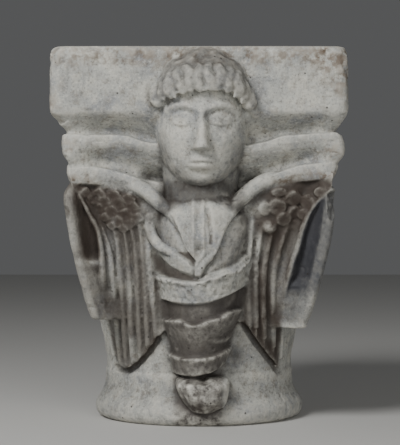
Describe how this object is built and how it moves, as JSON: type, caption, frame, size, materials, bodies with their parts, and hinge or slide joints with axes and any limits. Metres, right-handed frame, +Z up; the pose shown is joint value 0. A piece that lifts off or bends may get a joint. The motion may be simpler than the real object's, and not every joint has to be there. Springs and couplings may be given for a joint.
{
  "type": "figured capital",
  "caption": "Square-topped carved marble capital with a winged, cloth-wrapped figure on the front, corner leaves, a round bell and an astragal; it stands on a column shaft and carries an arch.",
  "frame": {"origin": "centre of the round bed on the underside, on the upright axis of the block", "axes": "+Z up from the bed to the top of the slab; the figure faces -Y; +X is to the right of someone who faces the figure"},
  "size_m": [0.274, 0.3078, 0.352],
  "materials": {
    "marble": "weathered white and grey marble, matt, with brown patina in the hollows"
  },
  "bodies": {
    "root": {"capital": "marble"}
  },
  "joints": []
}
